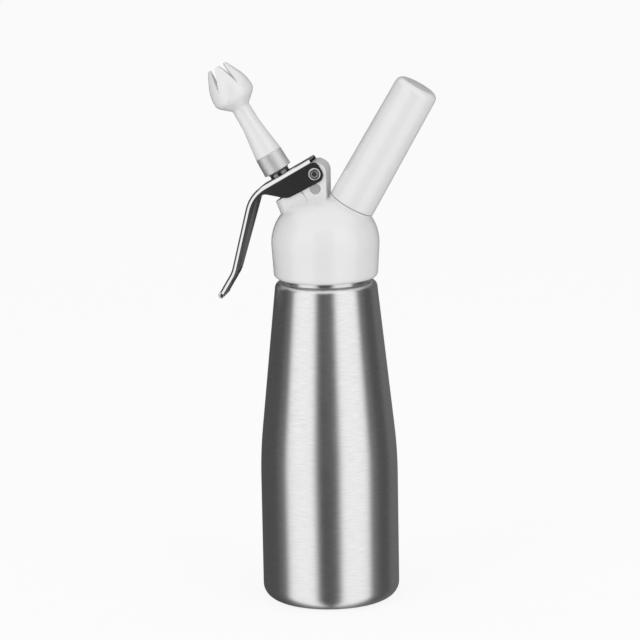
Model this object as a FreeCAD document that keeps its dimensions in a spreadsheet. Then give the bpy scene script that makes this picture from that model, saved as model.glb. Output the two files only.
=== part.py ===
import FreeCAD, Part
import math
import os

import Sketcher

# Whipped cream dispenser, in millimetres. The origin is the centre of the base, +Z is up,
# +X points to the charger holder. The nozzle axis leans to -X and the charger axis to +X,
# and both meet the bottle's axis at the same height inside the head.

SIZES = {
    "bottle_radius": 40.0,
    "bottle_bend": 87.0,
    "bottle_blend": 270.0,
    "base_round": 8.0,
    "foot_radius": 27.0,
    "foot_slope": 3.0,
    "foot_round": 1.5,
    "base_recess": 2.5,
    "floor_wall": 2.2,
    "shoulder_radius": 29.35,
    "shoulder_height": 187.7,
    "shoulder_round": 3.3,
    "wall": 1.5,
    "inner_round": 2.0,
    "neck_radius": 25.2,
    "neck_bore": 22.8,
    "neck_top": 205.0,
    "rim_round": 0.6,
    "gasket_thick": 2.5,
    "gasket_slack": 0.35,
    "core_bore": 26.2,
    "core_radius": 28.0,
    "core_bottom": 191.6,
    "core_top": 212.5,
    "core_boss": 7.6,
    "core_boss_end": 37.6,
    "core_boss_start": 4.0,
    "tool_overrun": 2.0,
    "chamber_radius": 5.6,
    "passage_radius": 1.2,
    "passage_offset": 9.0,
    "passage_bend": 18.0,
    "head_bottom": 190.2,
    "head_bottom_radius": 30.0,
    "head_lip": 26.5,
    "head_bottom_round": 3.0,
    "dome_radius": 32.97,
    "dome_top": 237.3,
    "dome_round": 26.8,
    "axes_meet": 205.7,
    "axes_lean": 30.0,
    "valve_boss_root": 13.0,
    "valve_boss_start": 21.0,
    "valve_boss_radius": 10.2,
    "valve_boss_end": 39.0,
    "charger_boss_radius": 13.8,
    "charger_boss_start": 8.0,
    "charger_boss_end": 31.3,
    "lug_thick": 17.8,
    "lug_radius": 6.4,
    "lug_root": 12.0,
    "lug_root_front": 8.0,
    "lug_back_start": 18.0,
    "lug_back": 2.4,
    "pivot_along": 41.8,
    "pivot_aside": 19.5,
    "pin_radius": 2.6,
    "pin_head": 3.5,
    "pin_head_thick": 0.9,
    "pin_bore": 1.5,
    "pin_bore_depth": 6.0,
    "running_gap": 0.05,
    "core_pin_radius": 3.2,
    "core_pin_along": 34.2,
    "core_pin_aside": 15.2,
    "lever_width": 20.8,
    "lever_sheet": 1.2,
    "lever_edge": 2.4,
    "lever_plate": 50.8,
    "lever_slot": 6.4,
    "lever_slot_reach": 1.8,
    "lever_plate_end": 20.8,
    "ear_reach": 4.7,
    "ear_rise": 6.2,
    "ear_round": 4.6,
    "ear_top_round": 3.2,
    "elbow_round": 22.0,
    "handle_round": 18.0,
    "rim_round_elbow": 6.0,
    "rim_round_ear": 8.0,
    "stem_radius": 4.2,
    "stem_bore": 2.3,
    "stem_tail": 22.0,
    "stem_tail_radius": 4.7,
    "stem_seat": 27.0,
    "stem_seal_thick": 2.5,
    "stem_neck": 3.2,
    "stem_port": 1.1,
    "stem_port_at": 28.8,
    "stem_flange": 8.0,
    "stem_flange_low": 46.8,
    "stem_flange_top": 49.3,
    "stem_shoulder": 5.9,
    "stem_shoulder_top": 53.0,
    "stem_thread": 4.6,
    "stem_end": 62.5,
    "guide_flange": 7.3,
    "guide_top": 39.6,
    "ring_wire": 0.45,
    "ring_at": 34.0,
    "spring_wire": 0.35,
    "spring_coil": 5.9,
    "washer_radius": 6.4,
    "collar_start": 53.8,
    "collar_low": 8.4,
    "collar_high": 8.05,
    "collar_wall": 1.0,
    "collar_end": 64.7,
    "tip_inset": 0.4,
    "tip_bore": 5.0,
    "tip_root": 7.95,
    "tip_neck": 5.3,
    "tip_neck_at": 95.7,
    "tip_passage": 3.4,
    "bulb_radius": 11.5,
    "bulb_wall": 1.9,
    "tip_mouth": 5.9,
    "tip_end": 122.5,
    "slit_depth": 14.0,
    "slit_width": 2.9,
    "tines": 6.0,
    "holder_start": 31.6,
    "holder_low": 13.7,
    "holder_high": 12.75,
    "holder_end": 110.8,
    "holder_round": 4.0,
    "holder_bore": 9.35,
    "holder_thread_bore": 10.7,
    "holder_thread_end": 47.5,
    "stud_radius": 10.3,
    "stud_start": 24.0,
    "stud_wall": 1.6,
    "stud_end": 46.2,
    "stud_pocket": 5.2,
    "stud_pocket_floor": 39.6,
    "stud_bore": 2.6,
    "seal_thick": 2.4,
    "seal_bore": 2.4,
    "needle_radius": 0.8,
    "needle_tip": 44.2,
    "needle_base": 34.0,
    "charger_start": 42.3,
    "charger_end": 107.8,
    "charger_radius": 9.05,
    "charger_neck": 4.3,
    "charger_neck_end": 49.5,
    "charger_wall": 1.3,
}


class Size:
    """A length that knows its number and the sheet formula it comes from."""

    def __init__(self, number, formula):
        self.number = number
        self.formula = formula

    def __add__(self, other):
        other = as_size(other)
        return Size(self.number + other.number, f"({self.formula} + {other.formula})")

    def __sub__(self, other):
        other = as_size(other)
        return Size(self.number - other.number, f"({self.formula} - {other.formula})")

    def __mul__(self, other):
        other = as_size(other)
        return Size(self.number * other.number, f"({self.formula} * {other.formula})")

    def __truediv__(self, other):
        other = as_size(other)
        return Size(self.number / other.number, f"({self.formula} / {other.formula})")

    def __neg__(self):
        return Size(-self.number, f"(-1 * {self.formula})")


def as_size(value):
    if isinstance(value, Size):
        return value
    return Size(float(value), f"{float(value):.6f}")


doc = FreeCAD.newDocument("CreamDispenser")
sheet = doc.addObject("Spreadsheet::Sheet", "Sizes")
for row, (word, number) in enumerate(SIZES.items(), start=1):
    sheet.set(f"A{row}", word)
    sheet.set(f"B{row}", str(number))
    sheet.setAlias(f"B{row}", word)
doc.recompute()


def size(word):
    return Size(float(sheet.get(word)), f"Sizes.{word}")


def value(word):
    return size(word).number


PARTS = []


def new_body(label):
    body = doc.addObject("PartDesign::Body", label)
    body.Label = label
    PARTS.append(body)
    return body


def lean(body, degrees):
    """Stands a body's own Z axis on the nozzle axis (-) or the charger axis (+)."""
    turn = FreeCAD.Rotation(FreeCAD.Vector(0, 1, 0), degrees)
    body.Placement = FreeCAD.Placement(FreeCAD.Vector(0, 0, value("axes_meet")), turn)


def plane_of(body, role):
    return next(item for item in body.Origin.OriginFeatures if item.Role == role)


def new_sketch(body, name, role):
    sketch = body.newObject("Sketcher::SketchObject", f"{body.Name}_{name}")
    sketch.AttachmentSupport = (plane_of(body, role), [""])
    sketch.MapMode = "FlatFace"
    return sketch


def bind(sketch, kind, geometry, point, amount):
    """Dimension from the sketch's origin to a point, driven by the sheet."""
    place = sketch.addConstraint(
        Sketcher.Constraint(kind, -1, 1, geometry, point, amount.number)
    )
    sketch.setExpression(f"Constraints[{place}]", amount.formula)


def unit(start, end):
    step = (end[0] - start[0], end[1] - start[1])
    length = math.hypot(*step)
    return (step[0] / length, step[1] / length)


def add_outline(sketch, corners):
    """Closed outline through corners (x, y) or (x, y, round), tied to the sheet."""
    corners = [[as_size(item) for item in corner] for corner in corners]
    count = len(corners)
    spots = [(corner[0].number, corner[1].number) for corner in corners]
    enter = []
    leave = []
    for index, corner in enumerate(corners):
        here = spots[index]
        back = unit(here, spots[index - 1])
        ahead = unit(here, spots[(index + 1) % count])
        cut = 0.0
        if len(corner) == 3:
            half = math.acos(max(-1.0, min(1.0, back[0] * ahead[0] + back[1] * ahead[1]))) / 2
            cut = corner[2].number / math.tan(half)
        enter.append((here[0] + back[0] * cut, here[1] + back[1] * cut))
        leave.append((here[0] + ahead[0] * cut, here[1] + ahead[1] * cut))

    lines = []
    for index in range(count):
        start = FreeCAD.Vector(*leave[index], 0)
        end = FreeCAD.Vector(*enter[(index + 1) % count], 0)
        lines.append(sketch.addGeometry(Part.LineSegment(start, end)))
    for index, corner in enumerate(corners):
        before = lines[index - 1]
        after = lines[index]
        if len(corner) == 2:
            sketch.addConstraint(Sketcher.Constraint("Coincident", before, 2, after, 1))
            bind(sketch, "DistanceX", after, 1, corner[0])
            bind(sketch, "DistanceY", after, 1, corner[1])
            continue
        curve, backwards = corner_arc(spots[index], enter[index], leave[index], corner[2].number)
        arc = sketch.addGeometry(curve)
        spot = sketch.addGeometry(Part.Point(FreeCAD.Vector(*spots[index], 0)), True)
        bind(sketch, "DistanceX", spot, 1, corner[0])
        bind(sketch, "DistanceY", spot, 1, corner[1])
        entry, way_out = (2, 1) if backwards else (1, 2)
        sketch.addConstraint(Sketcher.Constraint("PointOnObject", spot, 1, before))
        sketch.addConstraint(Sketcher.Constraint("PointOnObject", spot, 1, after))
        sketch.addConstraint(Sketcher.Constraint("Tangent", before, 2, arc, entry))
        sketch.addConstraint(Sketcher.Constraint("Tangent", arc, way_out, after, 1))
        radius = sketch.addConstraint(Sketcher.Constraint("Radius", arc, corner[2].number))
        sketch.setExpression(f"Constraints[{radius}]", corner[2].formula)


def corner_arc(corner, enter, leave, radius):
    """Arc of the given radius that touches both sides of a corner, and whether it runs backwards."""
    middle = ((enter[0] + leave[0]) / 2, (enter[1] + leave[1]) / 2)
    inward = unit(corner, middle)
    reach = math.hypot(enter[0] - corner[0], enter[1] - corner[1])
    to_centre = math.hypot(reach, radius)
    centre = (corner[0] + inward[0] * to_centre, corner[1] + inward[1] * to_centre)
    first = math.atan2(enter[1] - centre[1], enter[0] - centre[0])
    last = math.atan2(leave[1] - centre[1], leave[0] - centre[0])
    backwards = (last - first) % (2 * math.pi) > math.pi
    if backwards:
        first, last = last, first
    circle = Part.Circle(FreeCAD.Vector(*centre, 0), FreeCAD.Vector(0, 0, 1), radius)
    return Part.ArcOfCircle(circle, first, first + (last - first) % (2 * math.pi)), backwards


def add_circle(sketch, x, y, radius):
    x, y, radius = as_size(x), as_size(y), as_size(radius)
    centre = FreeCAD.Vector(x.number, y.number, 0)
    circle = sketch.addGeometry(Part.Circle(centre, FreeCAD.Vector(0, 0, 1), radius.number))
    bind(sketch, "DistanceX", circle, 3, x)
    bind(sketch, "DistanceY", circle, 3, y)
    place = sketch.addConstraint(Sketcher.Constraint("Radius", circle, radius.number))
    sketch.setExpression(f"Constraints[{place}]", radius.formula)


def turned(body, name, corners, cut=False):
    """Revolution, or a groove, of an outline of (radius, height) corners about Z."""
    sketch = new_sketch(body, name, "XZ_Plane")
    add_outline(sketch, corners)
    kind = "PartDesign::Groove" if cut else "PartDesign::Revolution"
    feature = body.newObject(kind, f"{body.Name}_{name}_turn")
    feature.Profile = sketch
    feature.ReferenceAxis = (sketch, ["V_Axis"])
    feature.Angle = 360.0
    doc.recompute()
    return feature


def extruded(body, name, role, draw, length, cut=False, both=True, offset=None):
    """Pad or pocket of what draw puts in the sketch, even about the plane unless told otherwise."""
    sketch = new_sketch(body, name, role)
    if offset is not None:
        sketch.setExpression(".AttachmentOffset.Base.z", as_size(offset).formula)
    draw(sketch)
    kind = "PartDesign::Pocket" if cut else "PartDesign::Pad"
    feature = body.newObject(kind, f"{body.Name}_{name}_run")
    feature.Profile = sketch
    feature.Midplane = both
    feature.setExpression("Length", as_size(length).formula)
    doc.recompute()
    return feature


def must_change(body, before, name):
    """A cut or pad that misses the solid shows no error, so the volume is compared."""
    after = body.Shape.Volume
    if abs(after - before) < 1e-3:
        raise RuntimeError(f"{name} left {body.Label} as it was")
    return after


# Bottle

def make_bottle():
    body = new_body("bottle")
    radius = size("bottle_radius")
    wall = size("wall")
    bend = size("bottle_bend")
    shoulder = size("shoulder_radius")
    height = size("shoulder_height")
    floor = size("base_recess") + size("floor_wall")
    neck = size("neck_radius")
    bore = size("neck_bore")
    rim = size("rim_round")
    turned(body, "wall", [
        (0, size("base_recess")),
        (size("foot_radius") - size("foot_slope"), size("base_recess"), size("foot_round")),
        (size("foot_radius"), 0, size("foot_round")),
        (radius, 0, size("base_round")),
        (radius, bend, size("bottle_blend")),
        (shoulder, height, size("shoulder_round")),
        (neck, height, rim),
        (neck, size("neck_top"), rim),
        (bore, size("neck_top"), rim),
        (bore, height - wall, size("inner_round")),
        (shoulder - wall, height - wall, size("inner_round")),
        (radius - wall, bend, size("bottle_blend")),
        (radius - wall, floor, size("base_round") - wall),
        (0, floor),
    ])
    return body


def make_gasket():
    body = new_body("head_gasket")
    low = size("neck_top")
    high = low + size("gasket_thick")
    inner = size("neck_bore") - size("gasket_slack")
    outer = size("core_bore") - size("gasket_slack")
    turned(body, "ring", [(inner, low), (outer, low), (outer, high), (inner, high)])
    return body


# Head: an aluminium core inside a white moulded shell

def make_core():
    body = new_body("head_core")
    ceiling = size("neck_top") + size("gasket_thick")
    turned(body, "cup", [
        (0, ceiling),
        (size("core_bore"), ceiling),
        (size("core_bore"), size("core_bottom")),
        (size("core_radius"), size("core_bottom")),
        (size("core_radius"), size("core_top"), 1),
        (0, size("core_top")),
    ])
    return body


def axis_cylinder(label, radius, start, end, degrees):
    """Plain cylinder on the nozzle axis (-) or the charger axis (+), from start to end."""
    tool = doc.addObject("Part::Cylinder", label)
    tool.setExpression("Radius", radius.formula)
    tool.setExpression("Height", (end - start).formula)
    turn = FreeCAD.Rotation(FreeCAD.Vector(0, 1, 0), degrees)
    base = turn.multVec(FreeCAD.Vector(0, 0, start.number))
    tool.Placement = FreeCAD.Placement(base + FreeCAD.Vector(0, 0, value("axes_meet")), turn)
    return tool


def upright_cylinder(label, x, radius, low, high):
    tool = doc.addObject("Part::Cylinder", label)
    tool.setExpression("Radius", radius.formula)
    tool.setExpression("Height", (high - low).formula)
    tool.Placement.Base = FreeCAD.Vector(x.number, 0, low.number)
    return tool


def cross_cylinder(label, centre, radius, length):
    """Cylinder across the lug, even about the plane of the two axes."""
    tool = doc.addObject("Part::Cylinder", label)
    tool.setExpression("Radius", radius.formula)
    tool.setExpression("Height", length.formula)
    turn = FreeCAD.Rotation(FreeCAD.Vector(1, 0, 0), 90)
    tool.Placement = FreeCAD.Placement(centre + FreeCAD.Vector(0, length.number / 2, 0), turn)
    return tool


def hollowed(label, base, tools):
    """Base less all the tools."""
    tool = doc.addObject("Part::MultiFuse", f"{label}_tools")
    tool.Shapes = tools
    result = doc.addObject("Part::Cut", label)
    result.Base = base
    result.Tool = tool
    result.Label = label
    doc.recompute()
    return result


def on_nozzle(along, aside):
    """Point in the plane of both axes, from the nozzle axis' own two coordinates."""
    angle = math.radians(value("axes_lean"))
    x = -along * math.sin(angle) + aside * math.cos(angle)
    z = value("axes_meet") + along * math.cos(angle) + aside * math.sin(angle)
    return FreeCAD.Vector(x, 0, z)


def core_cavities():
    """Valve chamber, gas passage and stud socket, as tools on their axes."""
    lean_degrees = value("axes_lean")
    over = size("tool_overrun")
    passage = size("passage_radius")
    bend_height = size("passage_bend") * math.cos(math.radians(lean_degrees))
    passage_top = size("axes_meet") + bend_height + passage / 2
    return [
        axis_cylinder("chamber_tool", size("chamber_radius"), as_size(0), size("core_boss_end") + over,
                      -lean_degrees),
        axis_cylinder("passage_tool", passage, size("passage_bend"), size("charger_boss_end"), lean_degrees),
        upright_cylinder("drop_tool", size("passage_offset"), passage, size("neck_top") - over, passage_top),
        axis_cylinder("socket_tool", size("stud_radius"), size("stud_start"),
                      size("charger_boss_end") + over, lean_degrees),
    ]


def make_head_core():
    cup = make_core()
    PARTS.remove(cup)
    cup.Label = "core_cup"
    lean_degrees = value("axes_lean")
    over = size("tool_overrun")
    valve_boss = axis_cylinder("core_valve_boss", size("core_boss"), size("core_boss_start"),
                               size("core_boss_end"), -lean_degrees)
    charger_boss = axis_cylinder("core_charger_boss", size("stud_radius") + size("stud_wall"),
                                 size("charger_boss_start"), size("charger_boss_end") - over / 2,
                                 lean_degrees)
    solid = doc.addObject("Part::MultiFuse", "core_solid")
    solid.Shapes = [cup, valve_boss, charger_boss]
    # Clears the bosses out of the space that the neck and its gasket fill
    neck_space = upright_cylinder("core_neck_space", as_size(0), size("core_bore"),
                                  size("core_bottom") - over, size("neck_top") + size("gasket_thick"))
    core = hollowed("head_core", solid, [neck_space, *core_cavities()])
    PARTS.append(core)
    return core


def make_shell_body():
    body = new_body("shell_form")
    PARTS.remove(body)
    turned(body, "dome", [
        (0, size("head_bottom")),
        (size("head_bottom_radius"), size("head_bottom"), size("head_bottom_round")),
        (size("dome_radius"), size("dome_top"), size("dome_round")),
        (0, size("dome_top")),
    ])
    return body


def make_valve_boss():
    """Tapered boss on the nozzle axis, flat on both sides where the lever's ears pass."""
    body = new_body("shell_valve_boss")
    PARTS.remove(body)
    turned(body, "cone", [
        (0, size("valve_boss_start")),
        (size("valve_boss_root"), size("valve_boss_start")),
        (size("valve_boss_radius"), size("valve_boss_end"), 0.6),
        (0, size("valve_boss_end")),
    ])
    before = body.Shape.Volume

    def draw(sketch):
        half = size("lug_thick") / 2
        wide = size("valve_boss_root") * 2
        add_outline(sketch, [(-wide, half), (wide, half), (wide, wide), (-wide, wide)])
        add_outline(sketch, [(-wide, -wide), (wide, -wide), (wide, -half), (-wide, -half)])

    extruded(body, "flats", "XY_Plane", draw, size("valve_boss_end") * 3, cut=True)
    must_change(body, before, "flats")
    lean(body, -value("axes_lean"))
    return body


def make_charger_boss():
    body = new_body("shell_charger_boss")
    PARTS.remove(body)
    turned(body, "boss", [
        (0, size("charger_boss_start")),
        (size("charger_boss_radius"), size("charger_boss_start")),
        (size("charger_boss_radius"), size("charger_boss_end"), 0.4),
        (0, size("charger_boss_end")),
    ])
    lean(body, value("axes_lean"))
    return body


def make_lug():
    """Lug between the lever's ears: round about the rivet, upright at the back, boss in front."""
    body = new_body("shell_lug")
    PARTS.remove(body)
    along = size("pivot_along")
    aside = size("pivot_aside")
    radius = size("lug_radius")
    corner = radius - size("running_gap")
    top = along + radius
    front = size("lug_root_front")
    start = size("lug_back_start")
    lean_angle = math.radians(value("axes_lean"))

    def back(height):
        """Aside of the lug's upright back at a height along the nozzle axis."""
        return (size("lug_back") + height * math.sin(lean_angle)) / math.cos(lean_angle)

    def draw(sketch):
        add_outline(sketch, [
            (front, size("lug_root")),
            (back(start), start),
            (back(top), top, corner),
            (aside - radius, top, corner),
            (aside - radius, size("valve_boss_end")),
            (front, size("valve_boss_end")),
        ])

    extruded(body, "side", "XZ_Plane", draw, size("lug_thick"))
    lean(body, -value("axes_lean"))
    return body


def make_head_shell():
    """White shell: dome, both bosses and the lug, hollowed for the core and bored for the pins."""
    solid = doc.addObject("Part::MultiFuse", "shell_solid")
    solid.Shapes = [make_shell_body(), make_valve_boss(), make_charger_boss(), make_lug()]
    axis = as_size(0)
    over = size("tool_overrun")
    across = size("lug_thick") + over * 2
    degrees = value("axes_lean")
    pivot = on_nozzle(value("pivot_along"), value("pivot_aside"))
    core_pin_spot = on_nozzle(value("core_pin_along"), value("core_pin_aside"))
    tools = [
        upright_cylinder("shell_core_space", axis, size("core_radius"), size("core_bottom"),
                         size("core_top")),
        upright_cylinder("shell_lip_space", axis, size("head_lip"), size("head_bottom") - over,
                         size("core_bottom") + over / 2),
        axis_cylinder("shell_valve_space", size("core_boss"), size("core_boss_start"),
                      size("valve_boss_end") + over, -degrees),
        axis_cylinder("shell_stud_space", size("stud_radius") + size("stud_wall"),
                      size("charger_boss_start"), size("charger_boss_end") - over / 2, degrees),
        axis_cylinder("shell_stud_mouth", size("stud_radius"), size("charger_boss_start"),
                      size("charger_boss_end") + over, degrees),
        cross_cylinder("shell_pivot_space", pivot, size("pin_radius"), across),
        cross_cylinder("shell_pin_space", core_pin_spot, size("core_pin_radius"), across),
    ]
    shell = hollowed("head_shell", solid, tools)
    PARTS.append(shell)
    return shell


def make_core_pin():
    spot = on_nozzle(value("core_pin_along"), value("core_pin_aside"))
    pin = cross_cylinder("core_pin_rod", spot, size("core_pin_radius"), size("lug_thick"))
    doc.recompute()
    finished = doc.addObject("Part::Chamfer", "core_pin")
    finished.Base = pin
    rims = [index for index, edge in enumerate(pin.Shape.Edges, start=1) if edge.Closed]
    finished.Edges = [(index, 0.3, 0.3) for index in rims]
    finished.Label = "core_pin"
    PARTS.append(finished)
    return finished


# Lever: one pressed sheet with two ears, an elbow and a curled end

# Corners of the lever's side view as (aside, along) the nozzle axis: first the pressed back,
# from the elbow down to the curled end, and then the rims of its two flanges back up
HANDLE_START = (-19.8, SIZES["lever_plate"])
HANDLE_BEND = (-52.6, 16.7)
CURL_END = (-65.3, 9.6)
CURL_RIM = (-63.8, 6.9)
HANDLE_RIM = (-50.7, 14.2)
ELBOW_RIM = (-14.6, 48.6)
EAR_RIM = (-1.5, 37.35)
# The same back, one sheet further in
INNER_HANDLE_START = -19.3
INNER_HANDLE_BEND = (-51.85, 15.7)
INNER_CURL_END = (-63.7, 9.15)


def lever_outline(sketch):
    plate = size("lever_plate")
    plate_end = size("lever_plate_end")
    right = size("pivot_aside") + size("ear_reach")
    ear_top = size("pivot_along") + size("ear_rise")
    add_outline(sketch, [
        (plate_end, plate),
        (HANDLE_START[0], plate, size("elbow_round")),
        (*HANDLE_BEND, size("handle_round")),
        CURL_END,
        CURL_RIM,
        (*HANDLE_RIM, size("handle_round") + 2),
        (*ELBOW_RIM, size("rim_round_elbow")),
        (*EAR_RIM, size("rim_round_ear")),
        (right, size("pivot_along") - 5.5, size("ear_round")),
        (right, ear_top, size("ear_top_round")),
        (plate_end, ear_top),
    ])


def lever_hollow(sketch):
    """Inside of the channel: one sheet below the plate, open at the rim and past the plate's end."""
    inside = size("lever_plate") - size("lever_sheet")
    far = size("pivot_aside") + 10
    add_outline(sketch, [
        (far, inside),
        (far, 20),
        (-40, -12),
        (-58.8, 0.4),
        INNER_CURL_END,
        (*INNER_HANDLE_BEND, size("handle_round") + size("lever_sheet")),
        (INNER_HANDLE_START, inside, size("elbow_round") - size("lever_sheet")),
    ])


def bend_edges(block):
    """Names of the long edges where the back turns down into its two flanges."""
    names = []
    for index, edge in enumerate(block.Edges, start=1):
        side = edge.Vertexes[0].Y
        flat = all(abs(corner.Y - side) < 1e-6 for corner in edge.Vertexes)
        middle = edge.valueAt((edge.FirstParameter + edge.LastParameter) / 2)
        if flat and abs(side) > 1 and outer_side(middle.x, middle.z):
            names.append(f"Edge{index}")
    return names


def make_lever():
    """Pressed lever: a block in its side view, its long edges rounded, hollowed to one sheet."""
    body = new_body("lever")
    block = extruded(body, "side", "XZ_Plane", lever_outline, size("lever_width"))
    before = body.Shape.Volume
    rounded = body.newObject("PartDesign::Fillet", "lever_rounding")
    rounded.Base = (block, bend_edges(block.Shape))
    rounded.setExpression("Radius", "Sizes.lever_edge")
    doc.recompute()
    before = must_change(body, before, "rounding")
    extruded(body, "hollow", "XZ_Plane", lever_hollow,
             size("lever_width") - size("lever_sheet") * 2, cut=True)
    before = must_change(body, before, "hollow")

    def slot(sketch):
        half = size("lever_slot")
        right = half + size("lever_slot_reach")
        corner = half - 0.02
        add_outline(sketch, [
            (-half, -half, corner),
            (right, -half, corner),
            (right, half, corner),
            (-half, half, corner),
        ])

    extruded(body, "slot", "XY_Plane", slot, 10, cut=True, offset=size("lever_plate"))
    before = must_change(body, before, "slot")

    def hole(sketch):
        add_circle(sketch, size("pivot_aside"), size("pivot_along"),
                   size("pin_radius") + size("running_gap"))

    extruded(body, "pin_hole", "XZ_Plane", hole, size("lever_width") * 2, cut=True)
    must_change(body, before, "pin hole")
    lean(body, -value("axes_lean"))
    return body


def outer_side(aside, along):
    """True on the lever's back: its plate, elbow, handle and curled end."""
    if abs(along - value("lever_plate")) < 0.01:
        return True
    if aside > EAR_RIM[0]:
        return False
    handle = abs(beside((aside, along), HANDLE_START, HANDLE_BEND))
    curl = abs(beside((aside, along), HANDLE_BEND, CURL_END))
    return (handle < 1.9 and aside > HANDLE_BEND[0] - 1) or (curl < 0.5 and aside < HANDLE_BEND[0])


def beside(spot, start, end):
    """Distance of a spot from the line through start and end."""
    along = unit(start, end)
    return (spot[0] - start[0]) * along[1] - (spot[1] - start[1]) * along[0]


def make_lever_pin():
    """Hollow rivet: a shank in the lug and ears, and a rolled head outside each ear."""
    body = new_body("lever_pin")
    half = size("lever_width") / 2 + size("running_gap") * 2
    end = half + size("pin_head_thick")
    bore = size("pin_bore")
    bore_end = end - size("pin_bore_depth")
    head = size("pin_head")
    shank = size("pin_radius")
    turned(body, "rivet", [
        (0, -bore_end),
        (bore, -bore_end),
        (bore, -end, 0.3),
        (head, -end, 0.7),
        (head, -half),
        (shank, -half),
        (shank, half),
        (head, half),
        (head, end, 0.7),
        (bore, end, 0.3),
        (bore, bore_end),
        (0, bore_end),
    ])
    turn = FreeCAD.Rotation(FreeCAD.Vector(1, 0, 0), 90)
    body.Placement = FreeCAD.Placement(on_nozzle(value("pivot_along"), value("pivot_aside")), turn)
    return body


# Valve, on the nozzle axis

def make_stem():
    body = new_body("valve_stem")
    turned(body, "rod", [
        (0, size("stem_tail")),
        (size("stem_tail_radius"), size("stem_tail"), 0.5),
        (size("stem_tail_radius"), size("stem_seat") - size("stem_seal_thick")),
        (size("stem_neck"), size("stem_seat") - size("stem_seal_thick")),
        (size("stem_neck"), size("stem_seat")),
        (size("stem_radius"), size("stem_seat")),
        (size("stem_radius"), size("stem_flange_low")),
        (size("stem_flange"), size("stem_flange_low"), 0.3),
        (size("stem_flange"), size("stem_flange_top"), 0.5),
        (size("stem_shoulder"), size("stem_flange_top")),
        (size("stem_shoulder"), size("stem_shoulder_top"), 0.6),
        (size("stem_thread"), size("stem_shoulder_top")),
        (size("stem_thread"), size("stem_end"), 0.5),
        (size("stem_bore"), size("stem_end")),
        (size("stem_bore"), size("stem_seat") + 0.4),
        (0, size("stem_seat") + 0.4),
    ])
    before = body.Shape.Volume

    def port(sketch):
        add_circle(sketch, 0, size("stem_port_at"), size("stem_port"))

    extruded(body, "ports", "XZ_Plane", port, size("stem_radius") * 3, cut=True)
    must_change(body, before, "ports")
    lean(body, -value("axes_lean"))
    return body


def make_stem_seal():
    body = new_body("stem_seal")
    seat = size("stem_seat")
    low = seat - size("stem_seal_thick")
    outer = size("stem_tail_radius") + 0.3
    turned(body, "ring", [
        (size("stem_neck"), low),
        (outer, low),
        (outer, seat, 0.6),
        (size("stem_neck"), seat),
    ])
    lean(body, -value("axes_lean"))
    return body


def make_guide():
    """Bush screwed into the core: its lower end is the valve's seat, a groove holds the ring."""
    body = new_body("valve_guide")
    bore = size("stem_radius") + size("running_gap")
    turned(body, "bush", [
        (bore, size("stem_seat")),
        (size("chamber_radius"), size("stem_seat"), 0.3),
        (size("chamber_radius"), size("core_boss_end")),
        (size("guide_flange"), size("core_boss_end")),
        (size("guide_flange"), size("guide_top"), 0.4),
        (bore, size("guide_top"), 0.3),
    ])
    before = body.Shape.Volume
    half = size("ring_wire") + 0.05
    turned(body, "groove", [
        (bore - 0.5, size("ring_at") - half),
        (bore + size("ring_wire") * 2, size("ring_at") - half),
        (bore + size("ring_wire") * 2, size("ring_at") + half),
        (bore - 0.5, size("ring_at") + half),
    ], cut=True)
    must_change(body, before, "groove")
    lean(body, -value("axes_lean"))
    return body


def make_ring():
    ring = doc.addObject("Part::Torus", "stem_o_ring")
    ring.setExpression("Radius2", "Sizes.ring_wire")
    ring.setExpression("Radius1", "Sizes.stem_radius + Sizes.running_gap + Sizes.ring_wire")
    ring.Label = "stem_o_ring"
    turn = FreeCAD.Rotation(FreeCAD.Vector(0, 1, 0), -value("axes_lean"))
    ring.Placement = FreeCAD.Placement(on_nozzle(value("ring_at"), 0), turn)
    PARTS.append(ring)
    return ring


SPRING_TURNS = 3.25
# Left open between the end coils and what they press on
SPRING_CLEAR = 0.1


def biarc(start, heading, end, final):
    """Two arcs that leave start along heading and reach end along final, with no kink."""
    gap = end - start
    both = heading + final
    spread = 2 * (1 - heading.dot(final))
    across = gap.dot(both)
    reach = (math.sqrt(across * across + spread * gap.dot(gap)) - across) / spread
    join = (start + heading * reach + end - final * reach) * 0.5
    return [tangent_arc(start, heading, join), tangent_arc(end, -final, join)]


def tangent_arc(start, heading, end):
    chord = end - start
    side = chord - heading * chord.dot(heading)
    side.normalize()
    radius = chord.dot(chord) / (2 * chord.dot(side))
    centre = start + side * radius
    middle = (start + end) * 0.5 - centre
    middle.normalize()
    return Part.Arc(start, centre + middle * radius, end).toShape()


def make_spring():
    """Open coil round the stem, between the bush and the stem's flange."""
    wire = value("spring_wire")
    coil = value("spring_coil")
    low = value("guide_top") + wire + SPRING_CLEAR
    high = value("stem_flange_low") - wire - SPRING_CLEAR
    pitch = (high - low) / SPRING_TURNS
    print("spring: least gap between turns", round(pitch - 2 * wire, 3), "mm")
    steps = round(SPRING_TURNS * 4)
    rise = pitch / (2 * math.pi)

    def spot(angle):
        return FreeCAD.Vector(coil * math.cos(angle), coil * math.sin(angle), low + rise * angle)

    def heading(angle):
        direction = FreeCAD.Vector(-coil * math.sin(angle), coil * math.cos(angle), rise)
        direction.normalize()
        return direction

    edges = []
    for step in range(steps):
        first = math.pi / 2 * step
        last = math.pi / 2 * (step + 1)
        edges += biarc(spot(first), heading(first), spot(last), heading(last))
    path = Part.Wire(Part.sortEdges(edges)[0])
    section = Part.Wire(Part.Circle(spot(0), heading(0), wire).toShape())
    spring = doc.addObject("Part::Feature", "valve_spring")
    spring.Shape = path.makePipeShell([section], True, False)
    spring.Label = "valve_spring"
    turn = FreeCAD.Rotation(FreeCAD.Vector(0, 1, 0), -value("axes_lean"))
    spring.Placement = FreeCAD.Placement(FreeCAD.Vector(0, 0, value("axes_meet")), turn)
    PARTS.append(spring)
    return spring


# Nozzle, on its axis beyond the lever

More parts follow.
